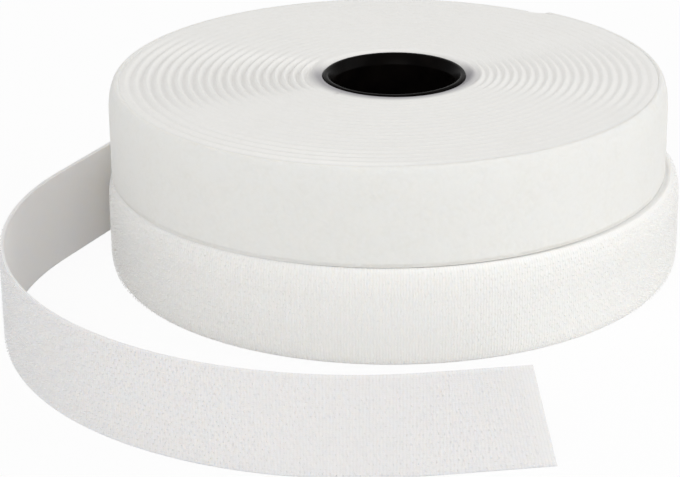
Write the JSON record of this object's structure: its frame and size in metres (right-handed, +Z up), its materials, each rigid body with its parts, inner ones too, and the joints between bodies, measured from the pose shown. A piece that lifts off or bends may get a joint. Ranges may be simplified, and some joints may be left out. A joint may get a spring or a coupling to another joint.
{
  "type": "hook and loop tape roll",
  "caption": "Hook tape and loop tape wound on plastic cores and stacked on a shared bore axis, with the free end of the lower tape drawn off in a wide curl.",
  "frame": {"origin": "on the bore axis shared by both cores, in the plane that the lower roll stands on", "axes": "+Z up along the bore axis, -Y towards the side that the free end curls round, +X towards the free end's cut"},
  "size_m": [0.1391, 0.1679, 0.0402],
  "materials": {
    "core_plastic": "moulded black plastic with a satin gloss",
    "adhesive_film": "dull translucent double-sided film",
    "hook_tape": "white woven tape with fine hooks on its outer face and a smooth back",
    "loop_tape": "white woven tape with a soft looped pile on its outer face"
  },
  "bodies": {
    "hook_roll": {"hook_core": "core_plastic", "hook_start_strip": "adhesive_film", "hook_tape": "hook_tape"},
    "hook_tail": {"hook_tape_tail": "hook_tape"},
    "loop_roll": {"loop_core": "core_plastic", "loop_start_strip": "adhesive_film", "loop_tape": "loop_tape"}
  },
  "joints": [
    {"name": "loop_roll_lift", "type": "slide", "parent": "hook_roll", "child": "loop_roll", "axis": [0, 0, 1], "range_m": [0, 0.06]},
    {"name": "hook_tail_flex", "type": "hinge", "parent": "hook_roll", "child": "hook_tail", "pos_m": [-0.05652, 0.02755, 0.01], "axis": [0, 0, -1], "range_deg": [-6, 30]}
  ]
}
